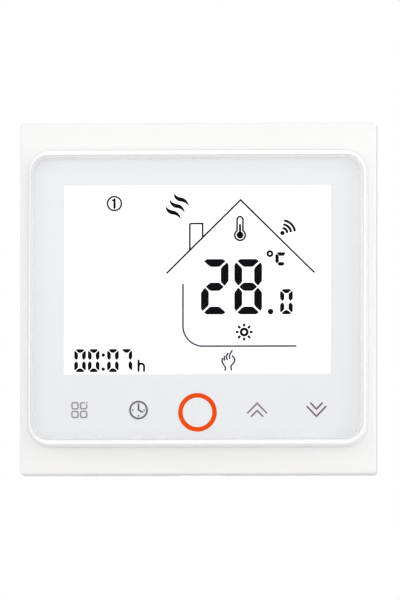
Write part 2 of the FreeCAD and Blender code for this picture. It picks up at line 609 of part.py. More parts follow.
def relay():
    """Power relay: base, cover, coil, iron circuit, hinged armature and contacts."""
    floor = POWER_BOARD_Y[1]
    deck = floor + RELAY_BASE
    width = RELAY_X[1] - RELAY_X[0]
    depth = RELAY_Z[1] - RELAY_Z[0]
    middle_x, middle_z = sum(RELAY_X) / 2, sum(RELAY_Z) / 2
    base = box(RELAY_X, (floor, deck), RELAY_Z)
    cover = slab(width, depth, 0.8, (deck, floor + RELAY_H), x=middle_x, z=middle_z)
    cover = cover.cut(slab(width - 2 * RELAY_SKIN, depth - 2 * RELAY_SKIN, 0.3,
                           (deck - 1, floor + RELAY_H - RELAY_SKIN), x=middle_x, z=middle_z))
    core_top = ARMATURE_PIVOT[1] - ARMATURE_GAP
    core = round_bar(COIL_X, middle_z, 2.0, deck, core_top)
    yoke = box((-19.2, COIL_X + 4.0), (deck, deck + 1.0), around(middle_z, 9.0))
    yoke = yoke.fuse(box((-19.2, -18.4), (deck, ARMATURE_PIVOT[1] - 0.05), around(middle_z, 9.0)))
    yoke = yoke.fuse(core).removeSplitter()
    bobbin = round_bar(COIL_X, middle_z, 5.1, deck + 1.0, deck + 1.6)
    bobbin = bobbin.fuse(round_bar(COIL_X, middle_z, 2.5, deck + 1.0, core_top - 0.2))
    bobbin = bobbin.fuse(round_bar(COIL_X, middle_z, 5.1, core_top - 0.8, core_top - 0.2))
    bobbin = bobbin.cut(round_bar(COIL_X, middle_z, 2.0, deck, core_top + 1))
    winding = round_bar(COIL_X, middle_z, COIL_R, deck + 1.6, core_top - 0.8)
    winding = winding.cut(round_bar(COIL_X, middle_z, 2.5, deck, core_top + 1))
    back = ARMATURE_PIVOT[1] + 1.0
    armature = box((-19.3, -8.2), (ARMATURE_PIVOT[1], back), around(middle_z, 9.0))
    leaf = box((-17.4, -3.8), (back, back + 0.25), around(middle_z, 5.0))
    button = round_bar(CONTACT_X, middle_z, 1.2, back - 0.65, back)
    post = box((-3.2, -2.4), (deck, 16.2), around(middle_z, 6.0))
    arm = box((CONTACT_X - 1.2, -2.4), (15.7, 16.2), around(middle_z, 3.6))
    anvil = round_bar(CONTACT_X, middle_z, 1.2, 16.2, ANVIL_TOP)
    contact = post.fuse(arm).fuse(anvil).removeSplitter()
    return {"relay_base": [base], "relay_cover": [cover], "relay_yoke": [yoke], "relay_bobbin": [bobbin],
            "relay_coil": [winding], "relay_armature": [armature], "relay_contact_leaf": [leaf, button],
            "relay_fixed_contact": [contact]}


def transformer():
    """Ferrite core round a taped winding."""
    floor = POWER_BOARD_Y[1]
    core = box((3.0, 17.0), (floor + 1.5, floor + 13.0), around(10.5, 6.0))
    core = core.cut(box((5.2, 14.8), (floor + 3.7, floor + 10.8), around(10.5, 8.0)))
    winding = slab(9.4, 13.0, 2.5, (floor + 3.8, floor + 10.7), x=10.0, z=10.5)
    feet = [box(around(10.0, 9.0), (floor, floor + 1.5), around(z, 2.2)) for z in (6.2, 14.8)]
    return core, [winding], feet


def capacitors():
    """Electrolytic cans with a crimp groove near the foot."""
    floor = POWER_BOARD_Y[1]
    made = []
    for x, z, radius, height in ((-13.5, -5.0, 4.0, 13.0), (-4.3, -5.6, 4.0, 11.0), (2.8, -1.8, 2.5, 9.0)):
        can = round_bar(x, z, radius, floor + 0.2, floor + height)
        can = can.makeFillet(0.4, edges_at(can, floor + height))
        groove = Part.makeTorus(radius + 0.15, 0.4, V(x, floor + 1.8, z), V(0, 1, 0))
        made.append(can.cut(groove))
    return made


def varistor():
    """Coated disc on two leads."""
    floor = POWER_BOARD_Y[1]
    disc = Part.makeCylinder(4.6, 3.4, V(5.5, floor + 7.0, -9.6), V(0, 0, 1))
    disc = disc.makeFillet(1.2, disc.Edges[0:1] + disc.Edges[2:3])
    leads = [box(around(x, 0.6), (POWER_BOARD_Y[1], floor + 3.0), around(-7.9, 0.6)) for x in (3.0, 8.0)]
    return [disc, *[lead.cut(disc) for lead in leads]]


def suppression_capacitor():
    block = box((11.2, 22.4), (POWER_BOARD_Y[1] + 0.2, POWER_BOARD_Y[1] + 11.0), (-8.6, -3.0))
    return block.makeFillet(0.5, block.Edges)


def fuse_resistor():
    """Tubular fuse resistor lying on the board, with bent leads."""
    height = POWER_BOARD_Y[1] + 2.2
    body = Part.makeCylinder(1.5, 7.5, V(10.5, height, 0.6), V(1, 0, 0))
    leads = []
    for inner, outer in ((10.5, 9.3), (18.0, 19.2)):
        low, high = min(inner, outer), max(inner, outer)
        level = Part.makeCylinder(0.35, high - low, V(low, height, 0.6), V(1, 0, 0))
        drop = round_bar(outer, 0.6, 0.35, POWER_BOARD_Y[1], height)
        leads.append(level.fuse(drop).removeSplitter())
    return [body, *leads]


def power_chips():
    """Switching controller, rectifier and chip resistors on the power board's front face."""
    face = POWER_BOARD_Y[0]
    chips = [box((-3.0, 3.0), (face - 1.8, face - 0.2), (4.0, 8.0)),
             box((8.0, 13.0), (face - 2.4, face - 0.2), (5.0, 9.0))]
    for number in range(4):
        chips.append(box(around((number - 1.5) * 1.27, 0.5), (face - 0.2, face), (3.4, 8.6)))
    for x in (8.6, 11.8):
        chips.append(box(around(x + 0.3, 0.8), (face - 0.2, face), (4.4, 9.6)))
    chips += [box(around(x, 1.6), (face - 0.7, face), around(-8.0, 2.8)) for x in (-16, -12, -8, -4, 0)]
    return chips


def main():
    os.makedirs(OUT, exist_ok=True)
    save("outer_frame", outer_frame())
    save("display_housing", display_housing())
    save("front_lens", front_lens())
    save("printed_mask", printed_mask())
    save("lens_adhesive", lens_adhesive())
    front_glass, rear_glass = display_glass()
    save("lcd_front_glass", front_glass)
    save("lcd_rear_glass", rear_glass)
    save("polarisers", *polarisers())
    diffuser, guide, reflector = backlight_layers()
    save("diffuser_sheet", diffuser)
    save("light_guide", guide)
    save("reflector_sheet", reflector)
    save("backlight_frame", backlight_frame())
    save("backlight_leds", *backlight_leds())
    save("lcd_pins", *lcd_pins())
    save("display_board", display_board())
    save("touch_springs", *touch_springs())
    save("control_chips", *control_chips())
    radio_board, radio_can = wifi_module()
    save("wifi_board", radio_board)
    save("wifi_shield", radio_can)
    save("small_components", *small_components())
    save("temperature_sensor", *temperature_sensor())
    save("board_socket", board_socket())
    save("rear_cover", rear_cover())
    save("cover_screws", *cover_screws())

    save("mounting_plate", mounting_plate())
    save("power_box", power_box())
    save("insulating_lid", insulating_lid())
    save("box_screws", *box_screws())
    save("power_board", power_board())
    header_base, header_pins = header()
    save("header_base", header_base)
    save("header_pins", *header_pins)
    save("terminal_block", terminal_block())
    save("terminal_contacts", *terminal_contacts())
    for number, x in enumerate(pole_places(), 1):
        save(f"terminal_screw_{number}", terminal_screw(x))
        save(f"wire_clamp_{number}", wire_clamp(x))
    for name, solids in relay().items():
        save(name, *solids)
    core, winding, feet = transformer()
    save("transformer_core", core)
    save("transformer_winding", *winding, *feet)
    save("capacitors", *capacitors())
    save("varistor", *varistor())
    save("suppression_capacitor", suppression_capacitor())
    save("fuse_resistor", *fuse_resistor())
    save("power_chips", *power_chips())


main()
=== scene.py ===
"""The looks of the wall thermostat: its materials, the image on its display, its keys, light and camera.

Everything is in metres in the part's own frame: X to the right, Z up, and the display faces -Y.
Drawn outlines are X and Z in millimetres, from that frame's origin.
"""

import json
import math

import bpy
import bmesh
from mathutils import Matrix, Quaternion, Vector


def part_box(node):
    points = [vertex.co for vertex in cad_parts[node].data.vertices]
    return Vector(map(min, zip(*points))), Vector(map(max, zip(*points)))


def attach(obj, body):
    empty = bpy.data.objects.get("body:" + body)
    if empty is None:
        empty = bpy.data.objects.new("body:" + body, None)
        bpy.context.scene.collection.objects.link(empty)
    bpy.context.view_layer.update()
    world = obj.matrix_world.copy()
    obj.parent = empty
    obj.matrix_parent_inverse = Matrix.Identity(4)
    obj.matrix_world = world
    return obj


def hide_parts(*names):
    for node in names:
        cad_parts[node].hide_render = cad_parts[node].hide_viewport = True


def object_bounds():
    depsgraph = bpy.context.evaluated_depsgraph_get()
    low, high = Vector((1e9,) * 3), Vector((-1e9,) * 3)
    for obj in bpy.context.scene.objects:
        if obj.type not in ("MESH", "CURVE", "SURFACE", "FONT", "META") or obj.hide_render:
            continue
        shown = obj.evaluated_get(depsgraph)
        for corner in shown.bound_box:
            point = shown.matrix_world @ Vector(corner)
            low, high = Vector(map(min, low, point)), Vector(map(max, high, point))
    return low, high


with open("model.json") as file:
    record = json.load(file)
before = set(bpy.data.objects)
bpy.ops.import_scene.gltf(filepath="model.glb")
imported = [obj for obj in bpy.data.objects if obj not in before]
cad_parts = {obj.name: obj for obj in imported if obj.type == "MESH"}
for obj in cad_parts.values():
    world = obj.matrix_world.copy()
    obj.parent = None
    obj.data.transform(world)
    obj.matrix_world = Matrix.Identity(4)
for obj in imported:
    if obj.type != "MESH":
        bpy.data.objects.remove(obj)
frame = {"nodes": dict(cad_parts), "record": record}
cad_low, cad_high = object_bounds()

MM = 0.001
UNIT = "display_unit"
BASE = "power_base"
POLES, POLE_PITCH = 6, 5.08                 # screw terminals on the back, mm
KEYS, KEY_PITCH = 5, 14.3                   # touch keys, mm
LENS_CORNER, LENS_EDGE = 4.4, 1.1           # corner radius and rounded edge of the front lens, mm
INK_PROUD, INK_SUNK = 0.06, 0.02            # how far a drawn mark stands out of its ground and into it, mm
SKY_FRONT_BACK = (1.04, 0.50)               # strength of the sky that faces the display, and behind it
FLOOR_HALF, FLOOR_DROP = 0.6, 0.065         # half the floor's side, and its depth under the object


# ------------------------------------------------------------------ node helpers

def linear(red, green, blue):
    """A screen colour, 0 to 255 each, as scene-linear RGBA."""
    parts = [c / 255 for c in (red, green, blue)]
    return tuple(c / 12.92 if c <= 0.04045 else ((c + 0.055) / 1.055) ** 2.4 for c in parts) + (1.0,)


class Maker:
    """A material's node tree, with short ways to add and join nodes. Lengths are in millimetres."""

    def __init__(self, name):
        self.material = bpy.data.materials.new(name)
        self.material.use_nodes = True
        self.tree = self.material.node_tree
        self.shader = self.tree.nodes["Principled BSDF"]
        self.output = self.tree.nodes["Material Output"]
        self.place = self.mm_coordinates()

    def add(self, kind, **settings):
        made = self.tree.nodes.new("ShaderNode" + kind)
        for key, value in settings.items():
            setattr(made, key, value)
        return made

    def join(self, source, socket):
        self.tree.links.new(source, socket)

    def mm_coordinates(self):
        coordinates = self.add("TexCoord")
        scaled = self.add("VectorMath", operation="SCALE")
        scaled.inputs["Scale"].default_value = 1 / MM
        self.join(coordinates.outputs["Object"], scaled.inputs[0])
        return scaled.outputs[0]

    def stretched(self, x, y, z):
        """The coordinates, multiplied along each axis."""
        made = self.add("VectorMath", operation="MULTIPLY")
        made.inputs[1].default_value = (x, y, z)
        self.join(self.place, made.inputs[0])
        return made.outputs[0]

    def noise(self, per_mm, detail=2.0, roughness=0.5, where=None):
        made = self.add("TexNoise")
        made.inputs["Scale"].default_value = per_mm
        made.inputs["Detail"].default_value = detail
        made.inputs["Roughness"].default_value = roughness
        self.join(where or self.place, made.inputs["Vector"])
        return made.outputs["Fac"]

    def cells(self, per_mm, output="Distance"):
        made = self.add("TexVoronoi", feature="F1")
        made.inputs["Scale"].default_value = per_mm
        self.join(self.place, made.inputs["Vector"])
        return made.outputs[output]

    def ramp(self, value, low, high, start=0.0, end=1.0):
        """value moved from the range low..high to start..end, and clamped."""
        made = self.add("MapRange")
        for socket, number in zip(("From Min", "From Max", "To Min", "To Max"), (low, high, start, end)):
            made.inputs[socket].default_value = number
        self.join(value, made.inputs["Value"])
        return made.outputs["Result"]

    def math(self, operation, first, second=0.0):
        made = self.add("Math", operation=operation)
        for socket, value in zip(made.inputs, (first, second)):
            if isinstance(value, (int, float)):
                socket.default_value = value
            else:
                self.join(value, socket)
        return made.outputs[0]

    def axis(self, letter):
        made = self.add("SeparateXYZ")
        self.join(self.place, made.inputs[0])
        return made.outputs[letter]

    def normal(self, letter):
        """One part of the surface's direction, in the piece's own axes."""
        coordinates = self.add("TexCoord")
        made = self.add("SeparateXYZ")
        self.join(coordinates.outputs["Normal"], made.inputs[0])
        return made.outputs[letter]

    def mix(self, factor, first, second):
        """A colour between two colours, each a tuple or a socket."""
        made = self.add("Mix", data_type="RGBA")
        self.join(factor, made.inputs["Factor"])
        for socket, value in ((made.inputs[6], first), (made.inputs[7], second)):
            if isinstance(value, tuple):
                socket.default_value = value
            else:
                self.join(value, socket)
        return made.outputs[2]

    def colour(self, source):
        self.join(source, self.shader.inputs["Base Color"])

    def rough(self, source):
        self.join(source, self.shader.inputs["Roughness"])

    def bump(self, height, depth_mm):
        made = self.add("Bump")
        made.inputs["Strength"].default_value = 1.0
        made.inputs["Distance"].default_value = depth_mm * MM
        self.join(height, made.inputs["Height"])
        self.join(made.outputs["Normal"], self.shader.inputs["Normal"])


def shade(colour, factor):
    """The colour, darker or lighter."""
    return tuple(min(1.0, c * factor) for c in colour[:3]) + (1.0,)


# ------------------------------------------------------------------ materials

def moulded(name, colour, roughness=0.42, grain=5.0, depth=0.004, spread=0.03):
    """Injection moulded plastic: spark-eroded grain, slow changes of tone and of gloss."""
    m = Maker(name)
    cloud = m.noise(0.09, 3.0)
    fleck = m.noise(2.2, 2.0)
    tone = m.math("ADD", m.math("MULTIPLY", cloud, 0.7), m.math("MULTIPLY", fleck, 0.3))
    m.colour(m.mix(m.ramp(tone, 0.3, 0.7), shade(colour, 1 - spread), shade(colour, 1 + spread / 3)))
    m.rough(m.ramp(m.noise(0.35, 3.0), 0.3, 0.7, roughness - 0.04, roughness + 0.05))
    m.bump(m.math("ADD", m.noise(grain, 3.0, 0.6), m.math("MULTIPLY", m.noise(0.6, 2.0), 0.6)), depth)
    m.shader.inputs["IOR"].default_value = 1.47
    return m


def skin_plastic(name, colour, roughness):
    """Satin white plastic that lets a little light into it."""
    m = moulded(name, colour, roughness, grain=6.0, depth=0.0025, spread=0.012)
    m.shader.inputs["Subsurface Weight"].default_value = 0.08
    m.shader.inputs["Subsurface Radius"].default_value = (0.0012, 0.0010, 0.0008)
    m.shader.inputs["Subsurface Scale"].default_value = 1.0
    return m


def edge_share(m, node, corner, fade):
    """1 at the border of a CAD node that is a rounded rectangle in XZ, falling to 0 at fade inside it."""
    low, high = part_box(node)
    past_corner = []
    for letter in "XZ":
        near, far = getattr(low, letter.lower()) / MM, getattr(high, letter.lower()) / MM
        off_centre = m.math("ABSOLUTE", m.math("SUBTRACT", m.axis(letter), (near + far) / 2))
        past_corner.append(m.math("MAXIMUM", m.math("SUBTRACT", off_centre, (far - near) / 2 - corner), 0.0))
    squares = [m.math("POWER", value, 2.0) for value in past_corner]
    return m.ramp(m.math("SQRT", m.math("ADD", *squares)), corner - fade, corner)


def clear_lens(name):
    """Clear acrylic over the print: it mirrors a little, more at a glance, and its rounded edge is milky,
    because light that enters above and on the right comes out there."""
    m = Maker(name)
    clear = m.add("BsdfTransparent")
    clear.inputs["Color"].default_value = (0.995, 0.998, 1.0, 1.0)
    gloss = m.add("BsdfGlossy")
    gloss.inputs["Roughness"].default_value = 0.07
    facing = m.add("LayerWeight")
    facing.inputs["Blend"].default_value = 0.5
    steep = m.math("POWER", facing.outputs["Facing"], 5.0)
    smear = m.ramp(m.noise(0.05, 4.0, 0.6), 0.3, 0.7, 0.85, 1.0)
    share = m.math("MULTIPLY", m.ramp(steep, 0.0, 1.0, 0.0, 0.4), smear)
    mixed = m.add("MixShader")
    m.join(share, mixed.inputs[0])
    m.join(clear.outputs[0], mixed.inputs[1])
    m.join(gloss.outputs[0], mixed.inputs[2])
    front_glow = m.add("BsdfDiffuse")
    rear_glow = m.add("BsdfTranslucent")
    for shader in (front_glow, rear_glow):
        shader.inputs["Color"].default_value = (0.98, 0.98, 0.985, 1.0)
    glow = m.add("MixShader")
    glow.inputs[0].default_value = 0.25
    m.join(front_glow.outputs[0], glow.inputs[1])
    m.join(rear_glow.outputs[0], glow.inputs[2])
    milky = m.add("MixShader")
    m.join(m.math("MULTIPLY", edge_share(m, "front_lens", LENS_CORNER, LENS_EDGE), 0.9), milky.inputs[0])
    m.join(mixed.outputs[0], milky.inputs[1])
    m.join(glow.outputs[0], milky.inputs[2])
    m.join(milky.outputs[0], m.output.inputs["Surface"])
    return m


def print_film(name, colour):
    """Screen print behind the lens: a very fine screen pattern, and painted light: the tone is a little
    lighter towards the top and darker towards the bottom, as light from above falls.
    """
    m = Maker(name)
    # Painted light: the print's tone rises from 0.985 at the bottom to 1.01 at the top, as light from above
    # falls.
    height = m.ramp(m.axis("Z"), -35.0, 35.0)
    slow = m.mix(height, shade(colour, 0.985), shade(colour, 1.01))
    dots = m.ramp(m.cells(7.0), 0.0, 0.6)
    m.colour(m.mix(m.math("MULTIPLY", dots, 0.25), slow, shade(colour, 0.97)))
    m.rough(m.ramp(m.noise(0.4), 0.3, 0.7, 0.42, 0.5))
    m.bump(dots, 0.001)
    return m


def lit_panel(name):
    """The display's bright ground: a lit film with a faint grid of cells and a slow fall of light."""
    m = Maker(name)
    edge = m.ramp(m.noise(0.03, 2.0), 0.35, 0.65)
    m.colour(m.mix(edge, (0.90, 0.90, 0.91, 1), (0.94, 0.94, 0.94, 1)))
    m.rough(m.ramp(m.noise(3.0), 0.3, 0.7, 0.5, 0.6))
    m.bump(m.cells(9.0), 0.001)
    m.shader.inputs["Emission Color"].default_value = (1.0, 1.0, 1.0, 1.0)
    m.shader.inputs["Emission Strength"].default_value = 0.45
    return m


def ink(name, colour, roughness=0.7, glow=0.0):
    """Printed or switched-on marks: the tone is a little uneven, as ink and liquid crystal are."""
    m = Maker(name)
    m.colour(m.mix(m.ramp(m.noise(1.6, 2.0), 0.3, 0.7), shade(colour, 0.9), shade(colour, 1.1)))
    m.rough(m.ramp(m.noise(4.0), 0.3, 0.7, roughness - 0.05, roughness + 0.05))
    m.shader.inputs["Specular IOR Level"].default_value = 0.1
    if glow:
        m.shader.inputs["Emission Color"].default_value = colour
        m.shader.inputs["Emission Strength"].default_value = glow
    return m


def film(name, colour, roughness):
    """Thin plastic sheet or tape with a slightly uneven gloss."""
    m = Maker(name)
    m.colour(m.mix(m.noise(0.15), shade(colour, 0.96), colour))
    m.rough(m.ramp(m.noise(1.5), 0.3, 0.7, roughness - 0.05, roughness + 0.08))
    m.bump(m.noise(5.0), 0.002)
    return m


def pane(name, colour, roughness=0.03):
    """Clear plate inside the display or the light guide."""
    m = Maker(name)
    m.colour(m.mix(m.noise(0.2), shade(colour, 0.96), colour))
    m.rough(m.ramp(m.noise(0.8), 0.3, 0.7, roughness, roughness + 0.04))
    m.shader.inputs["Alpha"].default_value = 0.35
    m.shader.inputs["IOR"].default_value = 1.5
    return m


def metal(name, colour, roughness, along=(1, 1, 1)):
    """Plated or rolled metal: fine lines along one direction, with stains that change its gloss."""
    m = Maker(name)
    lines = m.noise(3.0, 4.0, 0.65, where=m.stretched(*along))
    stain = m.noise(0.25, 4.0, 0.6)
    m.colour(m.mix(m.ramp(stain, 0.3, 0.75), shade(colour, 0.82), colour))
    tone = m.math("ADD", m.math("MULTIPLY", lines, 0.5), m.math("MULTIPLY", stain, 0.5))
    m.rough(m.ramp(tone, 0.25, 0.75, roughness - 0.09, roughness + 0.14))
    m.bump(lines, 0.002)
    m.shader.inputs["Metallic"].default_value = 1.0
    return m


def galvanised(name):
    """Zinc on pressed steel: crystals of slightly different grey and rolling lines."""
    m = Maker(name)
    crystals = m.cells(0.34, output="Color")
    grey = m.add("RGBToBW")
    m.join(crystals, grey.inputs[0])
    m.colour(m.mix(m.ramp(grey.outputs[0], 0.2, 0.8), (0.53, 0.54, 0.56, 1), (0.64, 0.65, 0.66, 1)))
    lines = m.noise(2.5, 4.0, 0.6, where=m.stretched(0.12, 1.0, 1.0))
    m.rough(m.ramp(m.math("ADD", grey.outputs[0], lines), 0.5, 1.5, 0.28, 0.5))
    m.bump(lines, 0.003)
    m.shader.inputs["Metallic"].default_value = 1.0
    return m


def circuit_board(name, mask, bare):
    """Laminate with copper tracks under its lacquer, bare vias and a fine weave."""
    m = Maker(name)
    tracks_x = m.math("FRACT", m.math("MULTIPLY", m.axis("X"), 0.62))
    tracks_z = m.math("FRACT", m.math("MULTIPLY", m.axis("Z"), 0.55))
    turn = m.math("GREATER_THAN", m.cells(0.09), 0.42)
    run = m.mix(turn, (0.0, 0.0, 0.0, 1.0), (1.0, 1.0, 1.0, 1.0))
    line_x = m.math("LESS_THAN", m.math("ABSOLUTE", m.math("SUBTRACT", tracks_x, 0.5)), 0.17)
    line_z = m.math("LESS_THAN", m.math("ABSOLUTE", m.math("SUBTRACT", tracks_z, 0.5)), 0.17)
    chosen = m.mix(run, line_x, line_z)
    covered = m.mix(chosen, mask, shade(mask, 1.9))
    vias = m.math("LESS_THAN", m.cells(0.28), 0.13)
    m.colour(m.mix(vias, covered, bare))
    m.rough(m.ramp(m.noise(0.5, 3.0), 0.3, 0.7, 0.24, 0.38))
    weave = m.noise(2.0, 1.0, where=m.stretched(1.0, 1.0, 0.3))
    m.bump(m.math("ADD", m.math("MULTIPLY", weave, 0.2), chosen), 0.02)
    m.join(m.math("MULTIPLY", vias, 0.9), m.shader.inputs["Metallic"])
    return m


def chips(name, low, high):
    """Black moulded packages, with bare metal leads between the two values of Y."""
    m = Maker(name)
    height = m.axis("Y")
    lead = m.math("MULTIPLY", m.math("GREATER_THAN", height, low), m.math("LESS_THAN", height, high))
    package = m.mix(m.noise(4.0, 3.0), (0.012, 0.012, 0.014, 1), (0.03, 0.03, 0.032, 1))
    m.colour(m.mix(lead, package, (0.62, 0.62, 0.60, 1)))
    m.join(lead, m.shader.inputs["Metallic"])
    m.rough(m.ramp(m.noise(5.0), 0.3, 0.7, 0.42, 0.58))
    m.bump(m.noise(7.0, 3.0), 0.006)
    return m


def capacitor_skin(name):
    """Shrunk sleeve with a pale stripe, and a bare aluminium top."""
    m = Maker(name)
    top = m.math("GREATER_THAN", m.normal("Y"), 0.8)
    stripe = m.math("GREATER_THAN", m.normal("X"), 0.82)
    sleeve = m.mix(m.noise(0.6), (0.012, 0.018, 0.03, 1), (0.025, 0.032, 0.05, 1))
    striped = m.mix(stripe, sleeve, (0.55, 0.56, 0.56, 1))
    m.colour(m.mix(top, striped, (0.75, 0.75, 0.76, 1)))
    m.join(top, m.shader.inputs["Metallic"])
    m.rough(m.ramp(m.noise(0.9, 3.0), 0.3, 0.7, 0.22, 0.36))
    m.bump(m.noise(1.2, 2.0), 0.02)
    return m


def wound(name, colour, per_mm):
    """Wire or tape wound round the Y axis: a ridge for each turn, and painted shade that darkens the grooves
    between the turns.
    """
    m = Maker(name)
    ridge = m.math("SINE", m.math("MULTIPLY", m.axis("Y"), per_mm * 2 * math.pi))
    # Painted shade: the colour falls to 0.55 of the wire's colour in the grooves between the turns.
    m.colour(m.mix(m.ramp(ridge, -1.0, 1.0), shade(colour, 0.55), colour))
    m.rough(m.ramp(m.noise(1.0), 0.3, 0.7, 0.25, 0.4))
    m.bump(ridge, 0.05)
    return m


def dipped(name, colour):
    """Thick epoxy coating with runs and small pits."""
    m = Maker(name)
    m.colour(m.mix(m.noise(0.5, 3.0), shade(colour, 0.75), shade(colour, 1.15)))
    m.rough(m.ramp(m.noise(0.8), 0.3, 0.7, 0.16, 0.3))
    m.bump(m.math("ADD", m.noise(0.5, 2.0), m.math("MULTIPLY", m.noise(5.0), 0.15)), 0.1)
    return m


def ceramic_chips(name):
    """Chip components: ceramic bodies with soldered, tinned ends in alternating bands."""
    m = Maker(name)
    band = m.math("FRACT", m.math("ADD", m.axis("Z"), 0.5))
    end = m.math("GREATER_THAN", m.math("ABSOLUTE", m.math("SUBTRACT", band, 0.5)), 0.32)
    body = m.mix(m.noise(0.35), (0.30, 0.21, 0.13, 1), (0.02, 0.02, 0.022, 1))
    m.colour(m.mix(end, body, (0.66, 0.66, 0.65, 1)))
    m.join(end, m.shader.inputs["Metallic"])
    m.rough(m.ramp(m.noise(3.0), 0.3, 0.7, 0.3, 0.45))
    m.bump(m.noise(4.0), 0.01)
    return m


def slot_materials():
    """One material for each of the record's material slots."""
    white = (0.89, 0.885, 0.874, 1)
    ivory = (0.80, 0.79, 0.76, 1)
    steel = (0.60, 0.60, 0.61, 1)
    tin = (0.72, 0.72, 0.71, 1)
    green_board = circuit_board("board_green", (0.010, 0.085, 0.030, 1), tin)
    blue_board = circuit_board("board_blue", (0.006, 0.020, 0.065, 1), (0.80, 0.62, 0.25, 1))
    tan_board = circuit_board("board_tan", (0.19, 0.115, 0.035, 1), tin)
    made = {
        "frame_white": skin_plastic("frame_white", white, 0.40),
        "housing_white": skin_plastic("housing_white", (0.935, 0.935, 0.94, 1), 0.33),
        "lens_clear": clear_lens("lens_clear"),
        "mask_grey": print_film("mask_grey", (0.835, 0.837, 0.852, 1)),
        "tape_black": film("tape_black", (0.02, 0.02, 0.02, 1), 0.6),
        "display_glass": pane("display_glass", (0.86, 0.92, 0.90, 1)),
        "polariser_film": lit_panel("polariser_film"),
        "diffuser_film": film("diffuser_film", (0.90, 0.90, 0.90, 1), 0.5),
        "guide_acrylic": pane("guide_acrylic", (0.90, 0.94, 0.96, 1), 0.06),
        "backlight_white": moulded("backlight_white", (0.86, 0.86, 0.85, 1)),
        "led_body": ink("led_body", (0.86, 0.72, 0.22, 1), 0.35, glow=0.3),
        "tinned_steel": metal("tinned_steel", tin, 0.22),
        "board_green": green_board,
        "board_blue": blue_board,
        "spring_steel": metal("spring_steel", (0.66, 0.66, 0.67, 1), 0.2),
        "chip_black": chips("chip_black", -5.75, -5.42),
        "chip_ceramic": ceramic_chips("chip_ceramic"),
        "shield_steel": metal("shield_steel", (0.68, 0.69, 0.70, 1), 0.28, along=(0.1, 1, 1)),
        "sensor_epoxy": dipped("sensor_epoxy", (0.03, 0.025, 0.025, 1)),
        "socket_black": moulded("socket_black", (0.016, 0.016, 0.017, 1), 0.45, spread=0.2),
        "cover_white": moulded("cover_white", (0.84, 0.835, 0.82, 1), 0.5, grain=4.0, depth=0.006),
        "screw_steel": metal("screw_steel", steel, 0.26, along=(1, 0.1, 1)),
        "plate_steel": galvanised("plate_steel"),
        "box_white": moulded("box_white", (0.80, 0.795, 0.775, 1), 0.5, grain=3.5, depth=0.008),
        "lid_white": moulded("lid_white", ivory, 0.5, grain=3.5, depth=0.008),
        "board_tan": tan_board,
        "pin_gold": metal("pin_gold", (0.86, 0.64, 0.24, 1), 0.2, along=(1, 0.1, 1)),
        "terminal_green": moulded("terminal_green", (0.012, 0.20, 0.075, 1), 0.4, spread=0.15),
        "terminal_brass": metal("terminal_brass", (0.72, 0.55, 0.27, 1), 0.28, along=(1, 1, 0.1)),
        "clamp_steel": metal("clamp_steel", (0.64, 0.64, 0.60, 1), 0.3, along=(1, 1, 0.1)),
        "relay_black": moulded("relay_black", (0.014, 0.014, 0.016, 1), 0.35, spread=0.2),
        "relay_case_black": moulded("relay_case_black", (0.016, 0.016, 0.018, 1), 0.3, spread=0.2),
        "yoke_steel": metal("yoke_steel", (0.50, 0.49, 0.47, 1), 0.36),
        "bobbin_plastic": moulded("bobbin_plastic", (0.72, 0.66, 0.52, 1), 0.45, spread=0.08),
        "coil_copper": wound("coil_copper", (0.52, 0.17, 0.05, 1), 8.0),
        "armature_iron": metal("armature_iron", (0.54, 0.53, 0.50, 1), 0.34, along=(0.1, 1, 1)),
        "contact_copper": metal("contact_copper", (0.78, 0.42, 0.24, 1), 0.24, along=(0.1, 1, 1)),
        "ferrite": dipped("ferrite", (0.045, 0.045, 0.048, 1)),
        "winding_tape": wound("winding_tape", (0.80, 0.52, 0.03, 1), 0.45),
        "capacitor_sleeve": capacitor_skin("capacitor_sleeve"),
        "varistor_blue": dipped("varistor_blue", (0.02, 0.10, 0.34, 1)),
        "film_cap_yellow": moulded("film_cap_yellow", (0.70, 0.52, 0.05, 1), 0.35, spread=0.1),
        "resistor_green": dipped("resistor_green", (0.05, 0.20, 0.16, 1)),
    }
    return {name: maker.material for name, maker in made.items()}


def dress_cad_nodes(materials):
    """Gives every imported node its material."""
    slots = {row["node"]: row["material_slot"] for row in frame["record"]["subparts"]}
    for name, piece in frame["nodes"].items():
        for place in piece.material_slots:
            place.material = materials[slots[name]]


# ------------------------------------------------------------------ thin drawn shapes

